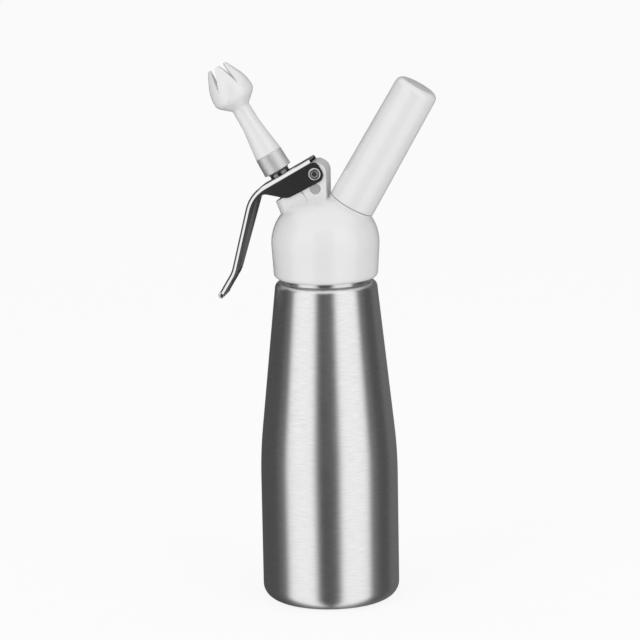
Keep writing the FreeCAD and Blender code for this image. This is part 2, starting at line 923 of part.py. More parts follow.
def make_tip_washer():
    body = new_body("tip_washer")
    inner = size("stem_thread") + 0.3
    outer = size("washer_radius")
    low = size("stem_shoulder_top")
    high = size("collar_start") + size("tip_inset")
    turned(body, "ring", [(inner, low), (outer, low), (outer, high), (inner, high)])
    lean(body, -value("axes_lean"))
    return body


def make_collar():
    body = new_body("tip_collar")
    wall = size("collar_wall")
    turned(body, "sleeve", [
        (size("collar_low") - wall, size("collar_start")),
        (size("collar_low"), size("collar_start"), 0.4),
        (size("collar_high"), size("collar_end"), 0.3),
        (size("collar_high") - wall, size("collar_end")),
    ])
    lean(body, -value("axes_lean"))
    return body


# Turn of the nozzle about its axis, which brings two of its slits to the front
TIP_TWIST = -20.0


def make_tip():
    """Tulip nozzle: a hollow cone that opens into a slit bulb."""
    body = new_body("nozzle_tip")
    wall = size("collar_wall")
    bulb = size("bulb_radius")
    thin = size("bulb_wall")
    neck_at = size("tip_neck_at")
    end = size("tip_end")
    turned(body, "tulip", [
        (size("tip_bore"), size("collar_start") + size("tip_inset")),
        (size("collar_low") - wall - 0.1, size("collar_start") + size("tip_inset")),
        (size("collar_high") - wall - 0.1, size("collar_end")),
        (size("tip_root"), size("collar_end"), 0.3),
        (size("tip_neck") + 0.2, neck_at - 12, 60),
        (size("tip_neck"), neck_at, 1.2),
        (bulb + 1.0, neck_at + 6.2, 5.5),
        (bulb + 0.6, neck_at + 14.5, 22),
        (size("tip_mouth") + 0.3, end, 0.8),
        (size("tip_mouth") - 1.1, end, 0.4),
        (bulb - thin + 0.2, neck_at + 14.0, 16),
        (bulb - thin + 0.2, neck_at + 7.0, 4.0),
        (size("tip_passage"), neck_at + 1.5, 1.0),
        (size("tip_passage"), size("stem_end") + 1.5),
        (size("tip_bore"), size("stem_end") + 1.5),
    ])
    before = body.Shape.Volume

    def slit(sketch):
        half = size("slit_width") / 2
        low = end - size("slit_depth")
        add_outline(sketch, [
            (0, low),
            (half, end - 3.0, 6),
            (half + 0.9, end + 1),
            (-half - 0.9, end + 1),
            (-half, end - 3.0, 6),
        ])

    cut = extruded(body, "slit", "XZ_Plane", slit, bulb * 2, cut=True, both=False)
    before = must_change(body, before, "slit")
    pattern = body.newObject("PartDesign::PolarPattern", "nozzle_tip_slits")
    pattern.Originals = [cut]
    pattern.Axis = (plane_of(body, "Z_Axis"), [""])
    pattern.Angle = 360.0
    pattern.Occurrences = round(value("tines"))
    body.Tip = pattern
    doc.recompute()
    must_change(body, before, "slit pattern")
    turn = FreeCAD.Rotation(FreeCAD.Vector(0, 1, 0), -value("axes_lean"))
    twist = FreeCAD.Rotation(FreeCAD.Vector(0, 0, 1), TIP_TWIST)
    body.Placement = FreeCAD.Placement(FreeCAD.Vector(0, 0, value("axes_meet")), turn.multiply(twist))
    return body


# Gas charger, its holder and the pin that pierces it, on the charger axis

def make_holder():
    body = new_body("charger_holder")
    start = size("holder_start")
    inner_end = size("charger_end") + 0.4
    turned(body, "sleeve", [
        (size("holder_thread_bore"), start),
        (size("holder_low"), start, 0.5),
        (size("holder_high"), size("holder_end") - 0.4, size("holder_round")),
        (0, size("holder_end")),
        (0, inner_end),
        (size("holder_bore"), inner_end, 7),
        (size("holder_bore"), size("holder_thread_end")),
        (size("holder_thread_bore"), size("holder_thread_end")),
    ])
    lean(body, value("axes_lean"))
    return body


def make_stud():
    body = new_body("charger_stud")
    turned(body, "stud", [
        (size("stud_bore"), size("stud_start")),
        (size("stud_radius"), size("stud_start")),
        (size("stud_radius"), size("stud_end"), 0.8),
        (size("stud_pocket"), size("stud_end"), 0.6),
        (size("stud_pocket"), size("stud_pocket_floor")),
        (size("stud_bore"), size("stud_pocket_floor")),
    ])
    lean(body, value("axes_lean"))
    return body


def make_piercing_pin():
    body = new_body("piercing_pin")
    base = size("needle_base")
    turned(body, "needle", [
        (0.35, base),
        (size("stud_bore"), base),
        (size("stud_bore"), base + 4),
        (size("needle_radius"), base + 4.6),
        (size("needle_radius"), size("needle_tip") - 1.2),
        (0.35, size("needle_tip")),
    ])
    lean(body, value("axes_lean"))
    return body


def make_charger_seal():
    body = new_body("charger_seal")
    floor = size("stud_pocket_floor")
    turned(body, "ring", [
        (size("seal_bore"), floor),
        (size("stud_pocket") - 0.1, floor),
        (size("stud_pocket") - 0.1, floor + size("seal_thick")),
        (size("seal_bore"), floor + size("seal_thick")),
    ])
    lean(body, value("axes_lean"))
    return body


def make_charger():
    """Steel cartridge: thin neck, round shoulder, round end, with its cap pierced."""
    body = new_body("gas_charger")
    start = size("charger_start")
    end = size("charger_end")
    radius = size("charger_radius")
    neck = size("charger_neck")
    wall = size("charger_wall")
    turned(body, "bottle", [
        (size("needle_radius") + 0.3, start),
        (neck, start, 0.5),
        (neck, size("charger_neck_end"), 2),
        (radius, size("charger_neck_end") + 6.5, 6),
        (radius, end, 8.6),
        (0, end),
        (0, end - wall),
        (radius - wall, end - wall, 7.2),
        (radius - wall, size("charger_neck_end") + 7.2, 6),
        (neck - wall, size("charger_neck_end") + 0.8, 1),
        (neck - wall, start + 2.6),
        (size("needle_radius") + 0.3, start + 2.6),
    ])
    lean(body, value("axes_lean"))
    return body


def make_check_valve():
    """Rubber mushroom pushed into the end of the gas passage, under the core's ceiling."""
    body = new_body("check_valve")
    ceiling = size("neck_top") + size("gasket_thick")
    stalk = size("passage_radius") - size("running_gap")
    turned(body, "mushroom", [
        (0, ceiling - 1.5),
        (3.0, ceiling - 1.0, 0.4),
        (3.0, ceiling),
        (stalk, ceiling),
        (stalk, ceiling + 3),
        (0, ceiling + 3),
    ])
    body.Placement.Base = FreeCAD.Vector(value("passage_offset"), 0, 0)
    return body


def build():
    make_bottle()
    make_gasket()
    make_head_core()
    make_head_shell()
    make_core_pin()
    make_lever()
    make_lever_pin()
    make_stem()
    make_stem_seal()
    make_guide()
    make_ring()
    make_spring()
    make_tip_washer()
    make_collar()
    make_tip()
    make_holder()
    make_stud()
    make_piercing_pin()
    make_charger_seal()
    make_charger()
    make_check_valve()


def check_and_write():
    doc.recompute()
    for item in doc.Objects:
        if "Invalid" in item.State or "Error" in item.State:
            raise RuntimeError(f"{item.Name} failed: {item.State}")
    for part in PARTS:
        if part.Shape.isNull() or not part.Shape.isValid():
            raise RuntimeError(f"{part.Label} has no valid shape")
    os.makedirs("parts", exist_ok=True)
    for part in PARTS:
        part.Shape.exportStep(f"parts/{part.Label}.step")
        print(part.Label, "solids", len(part.Shape.Solids), "volume", round(part.Shape.Volume, 1))


build()
check_and_write()
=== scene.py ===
import math

import bmesh
import bpy
from mathutils import Matrix, Vector


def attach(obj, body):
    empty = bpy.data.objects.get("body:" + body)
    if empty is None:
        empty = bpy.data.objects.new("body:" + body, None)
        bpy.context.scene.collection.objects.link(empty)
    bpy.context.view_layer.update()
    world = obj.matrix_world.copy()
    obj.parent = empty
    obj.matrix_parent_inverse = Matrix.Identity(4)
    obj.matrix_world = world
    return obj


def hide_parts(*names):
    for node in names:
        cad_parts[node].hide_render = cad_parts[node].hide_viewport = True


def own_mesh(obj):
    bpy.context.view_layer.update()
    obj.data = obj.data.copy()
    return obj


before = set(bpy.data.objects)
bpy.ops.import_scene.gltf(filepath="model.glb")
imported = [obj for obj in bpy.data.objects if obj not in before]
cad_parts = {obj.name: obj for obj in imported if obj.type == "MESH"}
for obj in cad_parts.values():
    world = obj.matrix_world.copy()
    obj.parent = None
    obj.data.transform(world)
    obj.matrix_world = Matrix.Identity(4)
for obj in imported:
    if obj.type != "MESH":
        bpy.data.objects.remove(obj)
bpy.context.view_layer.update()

# Whipped cream dispenser, in metres: bottle on +Z, nozzle and lever leaning to -X,
# charger holder leaning to +X. The two leaning axes meet on the bottle's axis.

AXES_MEET = 0.2057
AXES_LEAN = math.radians(30.0)


def leaning(angle):
    """Frame whose Z runs along a leaning axis, with its origin where the axes meet."""
    return Matrix.Translation((0, 0, AXES_MEET)) @ Matrix.Rotation(angle, 4, "Y")


UPRIGHT = Matrix.Identity(4)
NOZZLE_AXIS = leaning(-AXES_LEAN)
CHARGER_AXIS = leaning(AXES_LEAN)


# Sizes of the bottle

BOTTLE_RADIUS = 0.040
BOTTLE_BEND = 0.087
BOTTLE_BLEND = 0.270
SHOULDER_RADIUS = 0.02935
SHOULDER_HEIGHT = 0.1877
SHOULDER_ROUND = 0.0033
NECK_RADIUS = 0.0252
NECK_BORE = 0.0228
NECK_TOP = 0.205
NECK_ROOT_ROUND = 0.0005
NECK_LIP_ROUND = 0.0006
WALL = 0.0015
FOOT_RADIUS = 0.027
FOOT_SLOPE = 0.003
FOOT_ROUND = 0.0015
HEEL_ROUND = 0.008
BASE_RECESS = 0.0025
BOTTLE_FLOOR = 0.0047
INSIDE_ROUND = 0.002
INSIDE_HEEL_ROUND = 0.0065
BOTTLE_SEGMENTS = 256

# Sizes of the threads, whose start and end are places along their axis

NECK_THREAD = {"width": 0.0016, "pitch": 0.0045, "start": 0.1945, "end": 0.2030}
NECK_RIDGE = 0.0006
CORE_BORE = 0.0262

CHARGER_THREAD = {"width": 0.0011, "pitch": 0.003, "start": 0.0330, "end": 0.0450, "axis": CHARGER_AXIS}
CHARGER_RIDGE = 0.0003
STUD_RADIUS = 0.0103
HOLDER_BORE = 0.0107

NOZZLE_THREAD = {"width": 0.0006, "pitch": 0.0015, "end": 0.0615, "axis": NOZZLE_AXIS}
NOZZLE_RIDGE = 0.0003
STEM_RADIUS = 0.0046
STEM_THREAD_START = 0.0545
NOZZLE_BORE = 0.0050
NOZZLE_THREAD_START = 0.0550

# Sizes of the lever's bead

LEVER_END = (-0.06005, 0.0, 0.18025)
LEVER_HALF_WIDTH = 0.0104
BEAD_RADIUS = 0.0017
BEAD_ROUND = 0.0006
BEAD_SEGMENTS = 64

# Sizes of the valve spring, whose low and high ends are places along the nozzle's axis

SPRING_LOW = 0.0396
SPRING_HIGH = 0.0468
SPRING_COIL = 0.0059
SPRING_WIRE = 0.00035
SPRING_SEAT_GAP = 0.0001
SPRING_TURNS = 3.25
SPRING_STEPS = 160
WIRE_SIDES = 12


# Turned pieces and threads. Surfaces look smooth where they turn by less than SMOOTH_BELOW,
# in degrees. A ridge has RIDGE_STEPS to a turn, fades in over RIDGE_FADE of them, and its
# crest is a share of its width. A ridge in a bore starts half a turn on from its mate.

ON_AXIS = 1e-7
CORNER_STEPS = 8
SMOOTH_BELOW = 40.0

RIDGE_STEPS = 72
RIDGE_FADE = RIDGE_STEPS / 5
RIDGE_SUNK = 0.00015
RIDGE_CREST = 0.35
RIDGE_SMOOTH_BELOW = 60.0
HALF_TURN_ON = math.pi


def rounded(corners):
    """Outline through (radius, height) corners; a third number is the corner's own radius."""
    outline = []
    count = len(corners)
    for index, corner in enumerate(corners):
        spot = Vector(corner[:2])
        if len(corner) == 2:
            outline.append(spot)
            continue
        back = (Vector(corners[index - 1][:2]) - spot).normalized()
        ahead = (Vector(corners[(index + 1) % count][:2]) - spot).normalized()
        half = back.angle(ahead) / 2
        reach = corner[2] / math.tan(half)
        centre = spot + (back + ahead).normalized() * (corner[2] / math.sin(half))
        first = spot + back * reach - centre
        sweep = first.angle_signed(spot + ahead * reach - centre)
        for step in range(CORNER_STEPS + 1):
            turn = Matrix.Rotation(-sweep * step / CORNER_STEPS, 2)
            outline.append(centre + turn @ first)
    return outline


def turned(name, corners, axis, segments):
    """Piece turned about an axis, from an outline that starts and ends on it."""
    mesh = bmesh.new()
    rings = []
    for radius, height in rounded(corners):
        if radius < ON_AXIS:
            rings.append([mesh.verts.new((0, 0, height))])
            continue
        ring = []
        for step in range(segments):
            angle = 2 * math.pi * step / segments
            ring.append(mesh.verts.new((radius * math.cos(angle), radius * math.sin(angle), height)))
        rings.append(ring)
    for low, high in zip(rings, rings[1:]):
        for step in range(segments):
            ahead = (step + 1) % segments
            if len(low) == 1:
                mesh.faces.new((low[0], high[ahead], high[step]))
            elif len(high) == 1:
                mesh.faces.new((low[step], low[ahead], high[0]))
            else:
                mesh.faces.new((low[step], low[ahead], high[ahead], high[step]))
    return finished(name, mesh, axis)


def finished(name, mesh, axis, crease=SMOOTH_BELOW):
    """Object from a bmesh, placed on its axis, smooth but for its sharp corners."""
    bmesh.ops.recalc_face_normals(mesh, faces=mesh.faces)
    data = bpy.data.meshes.new(name)
    mesh.to_mesh(data)
    mesh.free()
    data.shade_smooth()
    data.set_sharp_from_angle(angle=math.radians(crease))
    piece = bpy.data.objects.new(name, data)
    bpy.context.scene.collection.objects.link(piece)
    piece.matrix_world = axis
    return piece


def skin(mesh, rings):
    """Covers rings of points that follow each other, and closes both ends."""
    count = len(rings[0])
    for low, high in zip(rings, rings[1:]):
        for side in range(count):
            ahead = (side + 1) % count
            mesh.faces.new((low[side], low[ahead], high[ahead], high[side]))
    mesh.faces.new(rings[0])
    mesh.faces.new(rings[-1])


def thread(name, radius, height, width, pitch, start, end, axis=UPRIGHT, phase=0.0):
    """Right-hand screw thread, a ridge that fades out at both ends.

    A negative height stands inward from a bore. The ridge's foot is sunk into its wall.
    """
    steps = round((end - start) / pitch * RIDGE_STEPS)
    foot = radius + (-RIDGE_SUNK if height > 0 else RIDGE_SUNK)
    mesh = bmesh.new()
    rows = []
    for step in range(steps + 1):
        angle = phase + 2 * math.pi * step / RIDGE_STEPS
        middle = start + (end - start) * step / steps
        crest = radius + height * min(1.0, step / RIDGE_FADE, (steps - step) / RIDGE_FADE)
        section = ((foot, -width), (crest, -width * RIDGE_CREST), (crest, width * RIDGE_CREST), (foot, width))
        rows.append([
            mesh.verts.new((reach * math.cos(angle), reach * math.sin(angle), middle + offset / 2))
            for reach, offset in section])
    skin(mesh, rows)
    return finished(name, mesh, axis, RIDGE_SMOOTH_BELOW)


def add(piece, body, slot_name, material, *nodes):
    """Puts a piece on its body, gives it its finish, and hides the CAD nodes it stands for. Its slot name is
    not used.
    """
    piece.data.materials.clear()
    piece.data.materials.append(material)
    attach(piece, body)
    if nodes:
        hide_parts(*nodes)


# Material nodes

def new_group(name, inputs, outputs):
    """Empty node group; inputs are (name, default), outputs are (name, socket type).

    An input with no default is a vector, and the others are numbers.
    """
    group = bpy.data.node_groups.new(name, "ShaderNodeTree")
    for label, default in inputs:
        kind = "NodeSocketVector" if default is None else "NodeSocketFloat"
        socket = group.interface.new_socket(label, in_out="INPUT", socket_type=kind)
        if default is not None:
            socket.default_value = default
    for label, kind in outputs:
        group.interface.new_socket(label, in_out="OUTPUT", socket_type=kind)
    entry = group.nodes.new("NodeGroupInput")
    way_out = group.nodes.new("NodeGroupOutput")
    return group, entry, way_out


def noise(tree, **inputs):
    """Noise texture with its inputs set."""
    texture = tree.nodes.new("ShaderNodeTexNoise")
    for label, number in inputs.items():
        texture.inputs[label].default_value = number
    return texture


def ramp(tree, source, low, high, dark=0.0, light=1.0):
    """Maps a value from low..high to dark..light, held at both ends."""
    item = tree.nodes.new("ShaderNodeMapRange")
    item.inputs["From Min"].default_value = low
    item.inputs["From Max"].default_value = high
    item.inputs["To Min"].default_value = dark
    item.inputs["To Max"].default_value = light
    tree.links.new(source, item.inputs["Value"])
    return item.outputs["Result"]


def reckon(tree, operation, first, second=0.0):
    """Result of a Math node on one or two values, each a number or a socket."""
    item = tree.nodes.new("ShaderNodeMath")
    item.operation = operation
    for place, part in enumerate((first, second)):
        if isinstance(part, (int, float)):
            item.inputs[place].default_value = part
        else:
            tree.links.new(part, item.inputs[place])
    return item.outputs[0]


# Effects shared by the finishes. A span holds the values between which an effect sets in,
# and a density is how finely a noise is repeated.

STREAK_SPAN = (0.3, 0.7)
TONE_SPAN = (0.35, 0.65)
SMUDGE_SPAN = (0.42, 0.72)
SCRATCH_SPAN = (0.66, 0.72)
EDGE_SPAN = (0.53, 0.62)

BROAD_SQUEEZE = 0.06
SCRATCH_TILTS = (0.3, 1.4, 2.3)
SCRATCH_SIDE_TILT = 0.7
SCRATCH_STRETCH = 0.04
SCRATCH_DENSITY = 14.0
WAVE_DENSITY = 160.0
PORE_DENSITY = 2600.0
PORE_DEPTH = 0.12
FLOW_DENSITY = 24.0
EDGE_BREAKUP_DENSITY = 420.0


def make_turning_lines():
    """Fine rings left by a lathe or a brushing belt, round the Z axis of the given place."""
    group, entry, way_out = new_group(
        "turning_lines",
        [("Place", None), ("Lines per metre", 9000.0), ("Length", 6.0)],
        [("Lines", "NodeSocketFloat"), ("Broad", "NodeSocketFloat")])
    split = group.nodes.new("ShaderNodeSeparateXYZ")
    group.links.new(entry.outputs["Place"], split.inputs[0])
    angle = reckon(group, "ARCTAN2", split.outputs["Y"], split.outputs["X"])
    across = reckon(group, "MULTIPLY", split.outputs["X"], split.outputs["X"])
    along = reckon(group, "MULTIPLY", split.outputs["Y"], split.outputs["Y"])
    radius = reckon(group, "SQRT", reckon(group, "ADD", across, along))
    wrap = group.nodes.new("ShaderNodeCombineXYZ")
    for side, wave in (("X", "SINE"), ("Y", "COSINE")):
        round_about = reckon(group, "MULTIPLY", reckon(group, wave, angle), entry.outputs["Length"])
        group.links.new(round_about, wrap.inputs[side])
    height = reckon(group, "ADD", split.outputs["Z"], radius)
    group.links.new(reckon(group, "MULTIPLY", height, entry.outputs["Lines per metre"]), wrap.inputs["Z"])
    fine = noise(group, Scale=1.0, Detail=3.0, Roughness=0.6)
    group.links.new(wrap.outputs[0], fine.inputs["Vector"])
    slow = group.nodes.new("ShaderNodeVectorMath")
    slow.operation = "MULTIPLY"
    slow.inputs[1].default_value = (1.0, 1.0, BROAD_SQUEEZE)
    group.links.new(wrap.outputs[0], slow.inputs[0])
    broad = noise(group, Scale=1.0, Detail=2.0, Roughness=0.5)
    group.links.new(slow.outputs[0], broad.inputs["Vector"])
    group.links.new(fine.outputs["Fac"], way_out.inputs["Lines"])
    group.links.new(broad.outputs["Fac"], way_out.inputs["Broad"])
    return group


def make_handling():
    """Faint finger smudges and wiped patches, as one mask."""
    group, entry, way_out = new_group(
        "handling_marks",
        [("Place", None), ("Scale", 28.0), ("Amount", 0.5)],
        [("Mask", "NodeSocketFloat")])
    patches = noise(group, Detail=5.0, Roughness=0.65, Distortion=0.6)
    group.links.new(entry.outputs["Place"], patches.inputs["Vector"])
    group.links.new(entry.outputs["Scale"], patches.inputs["Scale"])
    soft = ramp(group, patches.outputs["Fac"], *SMUDGE_SPAN)
    group.links.new(reckon(group, "MULTIPLY", soft, entry.outputs["Amount"]), way_out.inputs["Mask"])
    return group


def make_scratches():
    """Hairline scratches in several directions, as one mask."""
    group, entry, way_out = new_group(
        "hairline_scratches",
        [("Place", None), ("Scale", 90.0), ("Amount", 0.5)],
        [("Mask", "NodeSocketFloat")])
    total = None
    for tilt in SCRATCH_TILTS:
        turn = group.nodes.new("ShaderNodeMapping")
        turn.inputs["Rotation"].default_value = (tilt, SCRATCH_SIDE_TILT * tilt, tilt)
        turn.inputs["Scale"].default_value = (1.0, SCRATCH_STRETCH, 1.0)
        group.links.new(entry.outputs["Place"], turn.inputs["Vector"])
        streak = noise(group, Detail=2.0, Roughness=0.5)
        group.links.new(turn.outputs[0], streak.inputs["Vector"])
        group.links.new(reckon(group, "MULTIPLY", entry.outputs["Scale"], SCRATCH_DENSITY),
                        streak.inputs["Scale"])
        thin = ramp(group, streak.outputs["Fac"], *SCRATCH_SPAN)
        total = thin if total is None else reckon(group, "MAXIMUM", total, thin)
    group.links.new(reckon(group, "MULTIPLY", total, entry.outputs["Amount"]), way_out.inputs["Mask"])
    return group


def make_moulded_skin():
    """Slight waviness and pores of an injection-moulded wall, as a height, with faint flow tone."""
    group, entry, way_out = new_group(
        "moulded_skin",
        [("Place", None), ("Scale", 1.0)],
        [("Height", "NodeSocketFloat"), ("Tone", "NodeSocketFloat")])
    wave = noise(group, Detail=2.0, Roughness=0.4)
    pore = noise(group, Detail=3.0, Roughness=0.6)
    flow = noise(group, Detail=3.0, Roughness=0.5, Distortion=1.2)
    for texture, density in ((wave, WAVE_DENSITY), (pore, PORE_DENSITY), (flow, FLOW_DENSITY)):
        group.links.new(entry.outputs["Place"], texture.inputs["Vector"])
        group.links.new(reckon(group, "MULTIPLY", entry.outputs["Scale"], density), texture.inputs["Scale"])
    height = reckon(group, "ADD", wave.outputs["Fac"],
                    reckon(group, "MULTIPLY", pore.outputs["Fac"], PORE_DEPTH))
    group.links.new(height, way_out.inputs["Height"])
    group.links.new(flow.outputs["Fac"], way_out.inputs["Tone"])
    return group


def make_edge_rub_and_highlight():
    """Mask of convex edges, broken up by noise, where a finish rubs thin and where a painted highlight stands
    for edges that catch light.
    """
    group, entry, way_out = new_group(
        "edge_rub_and_painted_highlight",
        [("Place", None), ("Amount", 0.5)],
        [("Mask", "NodeSocketFloat")])
    shape = group.nodes.new("ShaderNodeNewGeometry")
    breakup = noise(group, Scale=EDGE_BREAKUP_DENSITY, Detail=3.0, Roughness=0.6)
    group.links.new(entry.outputs["Place"], breakup.inputs["Vector"])
    # Convex edges made lighter: partly rubbed thin, partly a painted highlight.
    edge = ramp(group, shape.outputs["Pointiness"], *EDGE_SPAN)
    rubbed_and_highlit = reckon(group, "MULTIPLY", edge, ramp(group, breakup.outputs["Fac"], *TONE_SPAN))
    group.links.new(reckon(group, "MULTIPLY", rubbed_and_highlit, entry.outputs["Amount"]), way_out.inputs["Mask"])
    return group


TURNING_LINES = make_turning_lines()
HANDLING = make_handling()
SCRATCHES = make_scratches()
MOULDED_SKIN = make_moulded_skin()
EDGE_RUB_AND_HIGHLIGHT = make_edge_rub_and_highlight()


# Finishes

class Finish:
    """A material under construction: its shader, and the place that its textures are read at."""

    def __init__(self, name, lean=0.0):
        self.material = bpy.data.materials.new(name)
        self.material.use_nodes = True
        self.tree = self.material.node_tree
        self.shader = self.tree.nodes["Principled BSDF"]
        self.place = self.tree.nodes.new("ShaderNodeTexCoord").outputs["Object"]
        if lean:
            turn = self.tree.nodes.new("ShaderNodeMapping")
            turn.vector_type = "TEXTURE"
            turn.inputs["Location"].default_value = (0, 0, AXES_MEET)
            turn.inputs["Rotation"].default_value = (0, lean, 0)
            self.tree.links.new(self.place, turn.inputs["Vector"])
            self.place = turn.outputs[0]

    def effect(self, group, **values):
        """Places a shared effect in the material, with its own values."""
        item = self.tree.nodes.new("ShaderNodeGroup")
        item.node_tree = group
        self.tree.links.new(self.place, item.inputs["Place"])
        for key, number in values.items():
            item.inputs[key.replace("_", " ")].default_value = number
        return item

    def set(self, **values):
        """Sets the shader's own sockets."""
        for key, number in values.items():
            self.shader.inputs[key.replace("_", " ")].default_value = number

    def feed(self, source, socket):
        """Joins a value or a colour to one of the shader's sockets."""
        self.tree.links.new(source, self.shader.inputs[socket])

    def blend(self, mask, plain, marked):
        """Colour that goes from plain to marked with the mask."""
        mix = self.tree.nodes.new("ShaderNodeMix")
        mix.data_type = "RGBA"
        colours = [socket for socket in mix.inputs if socket.type == "RGBA"]
        for socket, tone in zip(colours, (plain, marked)):
            if isinstance(tone, tuple):
                socket.default_value = (*tone, 1.0)
            else:
                self.tree.links.new(tone, socket)
        self.tree.links.new(mask, mix.inputs["Factor"])
        return next(socket for socket in mix.outputs if socket.type == "RGBA")

    def bump(self, height, strength, distance):
        """Relief from a height."""
        relief = self.tree.nodes.new("ShaderNodeBump")
        relief.inputs["Strength"].default_value = strength
        relief.inputs["Distance"].default_value = distance
        self.tree.links.new(height, relief.inputs["Height"])
        self.feed(relief.outputs["Normal"], "Normal")


def grey(tone, warm=0.0):
    """Grey of a tone; warm shifts it from blue to red."""
    return (tone + warm, tone, tone - warm)


def brushed_metal(name, tone, rough, spread, lines, lean=0.0, strength=0.25):
    """Metal brushed or turned round its axis: streaks in tone, roughness and relief."""
    dark_streak, light_streak, lightest = 0.86, 1.08, 0.97
    smudge_rough = 0.05
    relief_depth = 0.00004
    finish = Finish(name, lean)
    finish.set(Metallic=1.0)
    grain = finish.effect(TURNING_LINES, Lines_per_metre=lines)
    marks = finish.effect(HANDLING, Scale=22.0, Amount=0.25)
    tree = finish.tree
    streak = ramp(tree, grain.outputs["Lines"], *STREAK_SPAN)
    finish.feed(finish.blend(streak, grey(tone * dark_streak), grey(min(tone * light_streak, lightest))),
                "Base Color")
    broad = ramp(tree, grain.outputs["Broad"], *STREAK_SPAN, rough - spread, rough + spread)
    smudged = reckon(tree, "MULTIPLY", marks.outputs["Mask"], smudge_rough)
    finish.feed(reckon(tree, "ADD", broad, smudged), "Roughness")
    finish.bump(grain.outputs["Lines"], strength, relief_depth)
    return finish


def make_bottle_metal():
    """Brushed aluminium, whose reflections spread up and down the bottle."""
    finish = brushed_metal("bottle_brushed_aluminium", tone=0.88, rough=0.315, spread=0.015, lines=5200.0,
                           strength=0.12)
    tangent = finish.tree.nodes.new("ShaderNodeTangent")
    tangent.direction_type = "RADIAL"
    tangent.axis = "Z"
    finish.feed(tangent.outputs[0], "Tangent")
    finish.set(Anisotropic=0.8, Anisotropic_Rotation=0.25)
    return finish.material


def make_white_plastic():
    """Glossy white moulding, a little paler on its edges, partly rubbed and partly a painted highlight."""
    tone, tone_spread, edge_tone = 0.83, 0.010, 0.03
    rough, rough_spread, smudge_rough = 0.22, 0.05, 0.10
    finish = Finish("white_moulded_plastic")
    skin_marks = finish.effect(MOULDED_SKIN)
    marks = finish.effect(HANDLING, Scale=30.0, Amount=0.12)
    edge_rub_and_highlight = finish.effect(EDGE_RUB_AND_HIGHLIGHT, Amount=0.3)
    tree = finish.tree
    flow = ramp(tree, skin_marks.outputs["Tone"], *TONE_SPAN)
    plain = finish.blend(flow, grey(tone - tone_spread, 0.001), grey(tone + tone_spread))
    # Paler edges: partly rubbed, partly a painted highlight.
    finish.feed(finish.blend(edge_rub_and_highlight.outputs["Mask"], plain, grey(tone + edge_tone)), "Base Color")
    smudged = reckon(tree, "MULTIPLY", marks.outputs["Mask"], smudge_rough)
    skin_rough = ramp(tree, skin_marks.outputs["Tone"], *STREAK_SPAN, rough, rough + rough_spread)
    finish.feed(reckon(tree, "ADD", smudged, skin_rough), "Roughness")
    finish.bump(skin_marks.outputs["Height"], strength=0.05, distance=0.00010)
    finish.set(IOR=1.49, Coat_Weight=0.6, Coat_Roughness=0.16)
    return finish.material


def make_chrome():
    """Polished chrome with hairlines and smudges, brighter on its edges, partly rubbed and partly a painted
    highlight.
    """
    tone, scratch_tone, edge_tone = 0.86, 0.92, 0.95
    rough, smudge_rough, scratch_rough = 0.045, 0.05, 0.06
    finish = Finish("lever_polished_chrome")
    marks = finish.effect(HANDLING, Scale=46.0, Amount=0.6)
    hair = finish.effect(SCRATCHES, Scale=60.0, Amount=0.5)
    edge_rub_and_highlight = finish.effect(EDGE_RUB_AND_HIGHLIGHT, Amount=0.3)
    skin_marks = finish.effect(MOULDED_SKIN, Scale=0.5)
    tree = finish.tree
    plain = finish.blend(hair.outputs["Mask"], grey(tone, -0.003), grey(scratch_tone))
    # Brighter edges: partly rubbed, partly a painted highlight.
    finish.feed(finish.blend(edge_rub_and_highlight.outputs["Mask"], plain, grey(edge_tone)), "Base Color")
    smudged = reckon(tree, "MULTIPLY", marks.outputs["Mask"], smudge_rough)
    scratched = reckon(tree, "MULTIPLY", hair.outputs["Mask"], scratch_rough)
    marked = reckon(tree, "ADD", smudged, scratched)
    finish.feed(reckon(tree, "ADD", marked, rough), "Roughness")
    finish.bump(skin_marks.outputs["Height"], strength=0.01, distance=0.00004)
    finish.set(Metallic=1.0)
    return finish.material


def make_rubber():
    """Dark moulded rubber."""
    tone, dark_share, light_share = 0.12, 0.8, 1.25
    smoothest, roughest = 0.55, 0.75
    finish = Finish("grey_seal_rubber")
    skin_marks = finish.effect(MOULDED_SKIN, Scale=2.0)
    tree = finish.tree
    mask = ramp(tree, skin_marks.outputs["Tone"], *TONE_SPAN)
    finish.feed(finish.blend(mask, grey(tone * dark_share), grey(tone * light_share)), "Base Color")
    finish.feed(ramp(tree, skin_marks.outputs["Tone"], *STREAK_SPAN, smoothest, roughest), "Roughness")
    finish.bump(skin_marks.outputs["Height"], strength=0.3, distance=0.0001)
    return finish.material


BOTTLE_METAL = make_bottle_metal()
WHITE_PLASTIC = make_white_plastic()
CHROME = make_chrome()
PIN_STEEL = brushed_metal(
    "turned_pin_steel", tone=0.72, rough=0.16, spread=0.04, lines=9000.0).material
# Its low tone is a painted dark reflection, darkening the stem and guide for the gap under the tip collar.
VALVE_METAL = brushed_metal(
    "valve_metal_painted_dark", tone=0.24, rough=0.12, spread=0.03, lines=9000.0,
    lean=-AXES_LEAN, strength=0.1).material
SPRING_STEEL = brushed_metal(
    "drawn_spring_steel", tone=0.60, rough=0.22, spread=0.04, lines=7000.0, lean=-AXES_LEAN).material
CORE_ALUMINIUM = brushed_metal(
    "machined_core_aluminium", tone=0.72, rough=0.21, spread=0.03, lines=7000.0).material
STUD_ALUMINIUM = brushed_metal(
    "machined_stud_aluminium", tone=0.72, rough=0.20, spread=0.03, lines=8000.0, lean=AXES_LEAN).material
COLLAR_ALUMINIUM = brushed_metal(
    "satin_collar_aluminium", tone=0.93, rough=0.56, spread=0.04, lines=7000.0,
    lean=-AXES_LEAN, strength=0.1).material
CORE_PIN_ALUMINIUM = brushed_metal(
    "satin_pin_aluminium", tone=0.80, rough=0.50, spread=0.04, lines=5000.0, strength=0.1).material
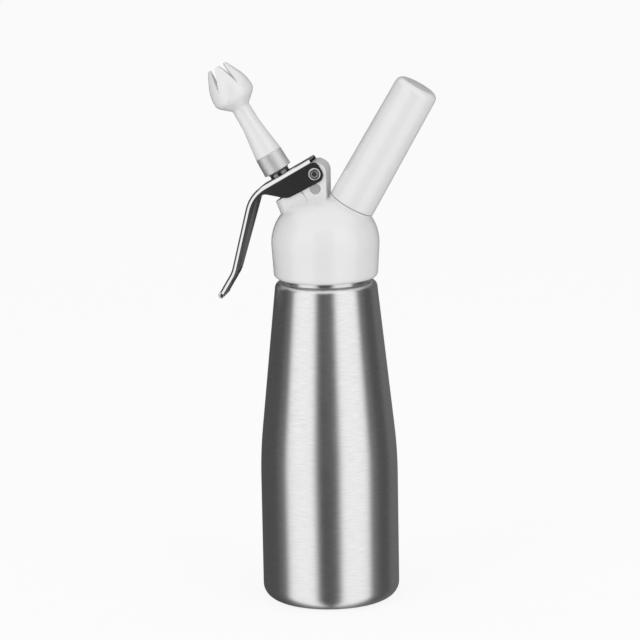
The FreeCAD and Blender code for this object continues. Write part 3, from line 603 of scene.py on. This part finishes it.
CHARGER_STEEL = brushed_metal(
    "zinc_plated_charger_steel", tone=0.66, rough=0.20, spread=0.04, lines=3000.0, lean=AXES_LEAN).material
SEAL_RUBBER = make_rubber()


# Pieces

def make_bottle():
    """Drawn bottle: coned upper half, turned-in shoulder, threaded neck and recessed base."""
    wall = turned("bottle_wall", [
        (0, BASE_RECESS),
        (FOOT_RADIUS - FOOT_SLOPE, BASE_RECESS, INSIDE_ROUND),
        (FOOT_RADIUS, 0, FOOT_ROUND),
        (BOTTLE_RADIUS, 0, HEEL_ROUND),
        (BOTTLE_RADIUS, BOTTLE_BEND, BOTTLE_BLEND),
        (SHOULDER_RADIUS, SHOULDER_HEIGHT, SHOULDER_ROUND),
        (NECK_RADIUS, SHOULDER_HEIGHT, NECK_ROOT_ROUND),
        (NECK_RADIUS, NECK_TOP, NECK_LIP_ROUND),
        (NECK_BORE, NECK_TOP, NECK_LIP_ROUND),
        (NECK_BORE, SHOULDER_HEIGHT - WALL, INSIDE_ROUND),
        (SHOULDER_RADIUS - WALL, SHOULDER_HEIGHT - WALL, INSIDE_ROUND),
        (BOTTLE_RADIUS - WALL, BOTTLE_BEND, BOTTLE_BLEND),
        (BOTTLE_RADIUS - WALL, BOTTLE_FLOOR, INSIDE_HEEL_ROUND),
        (0, BOTTLE_FLOOR),
    ], UPRIGHT, BOTTLE_SEGMENTS)
    add(wall, "root", "bottle_aluminium", BOTTLE_METAL, "bottle")
    ridge = thread("bottle_neck_thread", NECK_RADIUS, NECK_RIDGE, **NECK_THREAD)
    add(ridge, "root", "bottle_aluminium", BOTTLE_METAL)


def make_head_details():
    """Threads in the head's core, half a pitch from the neck's, and on the charger stud."""
    ridge = thread("head_core_thread", CORE_BORE, -NECK_RIDGE, **NECK_THREAD, phase=HALF_TURN_ON)
    add(ridge, "head", "core_aluminium", CORE_ALUMINIUM)
    stud = thread("charger_stud_thread", STUD_RADIUS, CHARGER_RIDGE, **CHARGER_THREAD)
    add(stud, "head", "core_aluminium", STUD_ALUMINIUM)


def make_holder_details():
    """Thread in the holder, half a pitch from the stud's."""
    ridge = thread("holder_thread", HOLDER_BORE, -CHARGER_RIDGE, **CHARGER_THREAD, phase=HALF_TURN_ON)
    add(ridge, "holder", "white_plastic", WHITE_PLASTIC)


def make_nozzle_details():
    """Threads on the valve stem and in the nozzle."""
    male = thread("stem_thread", STEM_RADIUS, NOZZLE_RIDGE, start=STEM_THREAD_START, **NOZZLE_THREAD)
    add(male, "stem", "valve_metal", VALVE_METAL)
    female = thread("nozzle_thread", NOZZLE_BORE, -NOZZLE_RIDGE, start=NOZZLE_THREAD_START, **NOZZLE_THREAD,
                    phase=HALF_TURN_ON)
    add(female, "tip", "white_plastic", WHITE_PLASTIC)


def make_lever_bead():
    """Rolled bead along the lever's end."""
    across = Matrix.Translation(LEVER_END) @ Matrix.Rotation(math.radians(-90.0), 4, "X")
    bead = turned("lever_end_bead", [
        (0, -LEVER_HALF_WIDTH),
        (BEAD_RADIUS, -LEVER_HALF_WIDTH, BEAD_ROUND),
        (BEAD_RADIUS, LEVER_HALF_WIDTH, BEAD_ROUND),
        (0, LEVER_HALF_WIDTH),
    ], across, BEAD_SEGMENTS)
    add(bead, "lever", "lever_chrome", CHROME)


def make_spring():
    """Valve spring as one round wire."""
    mesh = bmesh.new()
    low = SPRING_LOW + SPRING_WIRE + SPRING_SEAT_GAP
    high = SPRING_HIGH - SPRING_WIRE - SPRING_SEAT_GAP
    rings = []
    for step in range(SPRING_STEPS + 1):
        angle = 2 * math.pi * SPRING_TURNS * step / SPRING_STEPS
        height = low + (high - low) * step / SPRING_STEPS
        outward = Vector((math.cos(angle), math.sin(angle), 0))
        centre = outward * SPRING_COIL + Vector((0, 0, height))
        ring = []
        for side in range(WIRE_SIDES):
            turn = 2 * math.pi * side / WIRE_SIDES
            rise = Vector((0, 0, SPRING_WIRE * math.sin(turn)))
            ring.append(mesh.verts.new(centre + outward * SPRING_WIRE * math.cos(turn) + rise))
        rings.append(ring)
    skin(mesh, rings)
    wire = finished("valve_spring_wire", mesh, NOZZLE_AXIS)
    add(wire, "head", "spring_steel", SPRING_STEEL, "valve_spring")
    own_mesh(wire)


CAD_FINISHES = {
    "head_gasket": SEAL_RUBBER,
    "head_shell": WHITE_PLASTIC,
    "head_core": CORE_ALUMINIUM,
    "core_pin": CORE_PIN_ALUMINIUM,
    "lever": CHROME,
    "lever_pin": PIN_STEEL,
    "valve_stem": VALVE_METAL,
    "stem_seal": SEAL_RUBBER,
    "valve_guide": VALVE_METAL,
    "stem_o_ring": SEAL_RUBBER,
    "tip_washer": SEAL_RUBBER,
    "tip_collar": COLLAR_ALUMINIUM,
    "nozzle_tip": WHITE_PLASTIC,
    "charger_holder": WHITE_PLASTIC,
    "charger_stud": STUD_ALUMINIUM,
    "piercing_pin": PIN_STEEL,
    "charger_seal": SEAL_RUBBER,
    "gas_charger": CHARGER_STEEL,
    "check_valve": SEAL_RUBBER,
}


def finish_cad_nodes():
    """Gives the CAD's own pieces their finishes."""
    for name, material in CAD_FINISHES.items():
        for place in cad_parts[name].material_slots:
            place.material = material


# Studio: the camera, the floor, what lies round the object, and two softboxes

CAMERA_PLACE = (0.26594, -1.67907, 0.503)
CAMERA_AIM = (-0.0039, -0.0006, 0.1647)
CAMERA_ROLL = math.radians(1.05)
LENS = 168.1
SENSOR_WIDTH = 36.0
SIGHT_LIMIT = 30.0

WHITE = (1.0, 1.0, 1.0, 1.0)
FLOOR_COLOUR = (0.95, 0.95, 0.95, 1.0)
FLOOR_RADIUS = 14.0
FLOOR_SEGMENTS = 96
FLOOR_DROP = 0.0002
FLOOR_WHITE_SHARE = 0.85

# The camera sees white all round, diffuse rays meet FILL, and reflections meet the walls,
# a black card and a white ceiling, with WALL_DARK between them. A wall is (middle, half
# width, level of light), in degrees round the object from the camera's side. The ceiling's
# edge is a span of heights on a sphere of radius 1. JUST_OVER_ONE keeps the division safe
# straight up and down.

FILL = 0.72
WALL_DARK = 0.075
WALLS = (
    (-51.0, 27.0, 1.0),
    (44.5, 27.0, 1.0),
    (-86.0, 14.0, 0.13),
    (79.0, 12.0, 0.14),
    (150.0, 34.0, 0.14),
)
CARD_DARK = 0.032
BLACK_CARD = (-17.0, 8.0)
WALL_SOFTNESS = 5.0
CEILING_EDGE = (0.55, 0.72)
JUST_OVER_ONE = 1.0001

LAMP_AIM = (0, 0, 0.2)
LAMP_SIZE = 0.9
LAMPS = (("left_softbox", (-0.9, -1.3, 1.1), 5.0), ("right_softbox", (1.1, -1.0, 0.9), 4.0))


def make_camera():
    """Camera at the photograph's viewing angle."""
    data = bpy.data.cameras.new("view")
    data.lens = LENS
    data.sensor_width = SENSOR_WIDTH
    data.clip_end = SIGHT_LIMIT
    camera = bpy.data.objects.new("view", data)
    bpy.context.scene.collection.objects.link(camera)
    aim = Vector(CAMERA_AIM) - Vector(CAMERA_PLACE)
    turn = aim.to_track_quat("-Z", "Y").to_matrix().to_4x4() @ Matrix.Rotation(-CAMERA_ROLL, 4, "Z")
    camera.matrix_world = Matrix.Translation(CAMERA_PLACE) @ turn
    bpy.context.scene.camera = camera


def make_floor():
    """Pale floor that keeps the soft shadow; reflections look past it at the studio's walls."""
    mesh = bmesh.new()
    bmesh.ops.create_circle(mesh, cap_ends=True, radius=FLOOR_RADIUS, segments=FLOOR_SEGMENTS)
    floor = finished("studio_floor", mesh, Matrix.Translation((0, 0, -FLOOR_DROP)))
    material = bpy.data.materials.new("pale_floor")
    material.use_nodes = True
    tree = material.node_tree
    shader = tree.nodes["Principled BSDF"]
    shader.inputs["Base Color"].default_value = FLOOR_COLOUR
    shader.inputs["Roughness"].default_value = 1.0
    shader.inputs["Specular IOR Level"].default_value = 0.0
    path = tree.nodes.new("ShaderNodeLightPath")
    white = tree.nodes.new("ShaderNodeEmission")
    white.inputs["Color"].default_value = WHITE
    white.inputs["Strength"].default_value = 1.0
    clear = tree.nodes.new("ShaderNodeBsdfTransparent")
    seen = tree.nodes.new("ShaderNodeMixShader")
    mirrored = tree.nodes.new("ShaderNodeMixShader")
    tree.links.new(reckon(tree, "MULTIPLY", path.outputs["Is Camera Ray"], FLOOR_WHITE_SHARE), seen.inputs[0])
    tree.links.new(shader.outputs[0], seen.inputs[1])
    tree.links.new(white.outputs[0], seen.inputs[2])
    tree.links.new(path.outputs["Is Glossy Ray"], mirrored.inputs[0])
    tree.links.new(seen.outputs[0], mirrored.inputs[1])
    tree.links.new(clear.outputs[0], mirrored.inputs[2])
    tree.links.new(mirrored.outputs[0], tree.nodes["Material Output"].inputs["Surface"])
    floor.data.materials.append(material)


def make_world():
    """White behind the object, an even fill, and pale and dark walls for the metal to show."""
    world = bpy.data.worlds.new("studio")
    bpy.context.scene.world = world
    bpy.context.scene.view_settings.view_transform = "Standard"
    world.use_nodes = True
    tree = world.node_tree
    background = tree.nodes["Background"]
    background.inputs["Color"].default_value = WHITE
    direction = tree.nodes.new("ShaderNodeTexCoord").outputs["Generated"]
    split = tree.nodes.new("ShaderNodeSeparateXYZ")
    tree.links.new(direction, split.inputs[0])
    facing = math.atan2(CAMERA_PLACE[1], CAMERA_PLACE[0])
    upward = reckon(tree, "MULTIPLY", split.outputs["Z"], split.outputs["Z"])
    flat = reckon(tree, "SQRT", reckon(tree, "SUBTRACT", JUST_OVER_ONE, upward))

    def wall(middle, half, low, high):
        """Level of an upright wall, soft at its two sides."""
        angle = facing + math.radians(middle)
        towards = reckon(tree, "ADD", reckon(tree, "MULTIPLY", split.outputs["X"], math.cos(angle)),
                         reckon(tree, "MULTIPLY", split.outputs["Y"], math.sin(angle)))
        outer = math.cos(math.radians(half + WALL_SOFTNESS))
        inner = math.cos(math.radians(half - WALL_SOFTNESS))
        return ramp(tree, reckon(tree, "DIVIDE", towards, flat), outer, inner, low, high)

    shown = wall(*BLACK_CARD, WALL_DARK, CARD_DARK)
    for middle, half, level in WALLS:
        shown = reckon(tree, "MAXIMUM", shown, wall(middle, half, 0.0, level))
    shown = reckon(tree, "MAXIMUM", shown, ramp(tree, split.outputs["Z"], *CEILING_EDGE))
    path = tree.nodes.new("ShaderNodeLightPath")
    mirrored = reckon(tree, "MULTIPLY", path.outputs["Is Glossy Ray"], reckon(tree, "SUBTRACT", shown, FILL))
    plain = reckon(tree, "MAXIMUM", path.outputs["Is Camera Ray"], path.outputs["Is Transmission Ray"])
    level = reckon(tree, "MAXIMUM", plain, reckon(tree, "ADD", mirrored, FILL))
    tree.links.new(level, background.inputs["Strength"])


def make_lamp(name, place, power):
    """Softbox aimed at the object and left out of reflections."""
    data = bpy.data.lights.new(name, "AREA")
    data.size = LAMP_SIZE
    data.energy = power
    lamp = bpy.data.objects.new(name, data)
    bpy.context.scene.collection.objects.link(lamp)
    aim = Vector(LAMP_AIM) - Vector(place)
    lamp.matrix_world = Matrix.Translation(place) @ aim.to_track_quat("-Z", "Y").to_matrix().to_4x4()
    lamp.visible_glossy = False


make_bottle()
make_head_details()
make_holder_details()
make_nozzle_details()
make_lever_bead()
make_spring()
finish_cad_nodes()
make_camera()
make_floor()
make_world()
for lamp_name, lamp_place, lamp_power in LAMPS:
    make_lamp(lamp_name, lamp_place, lamp_power)
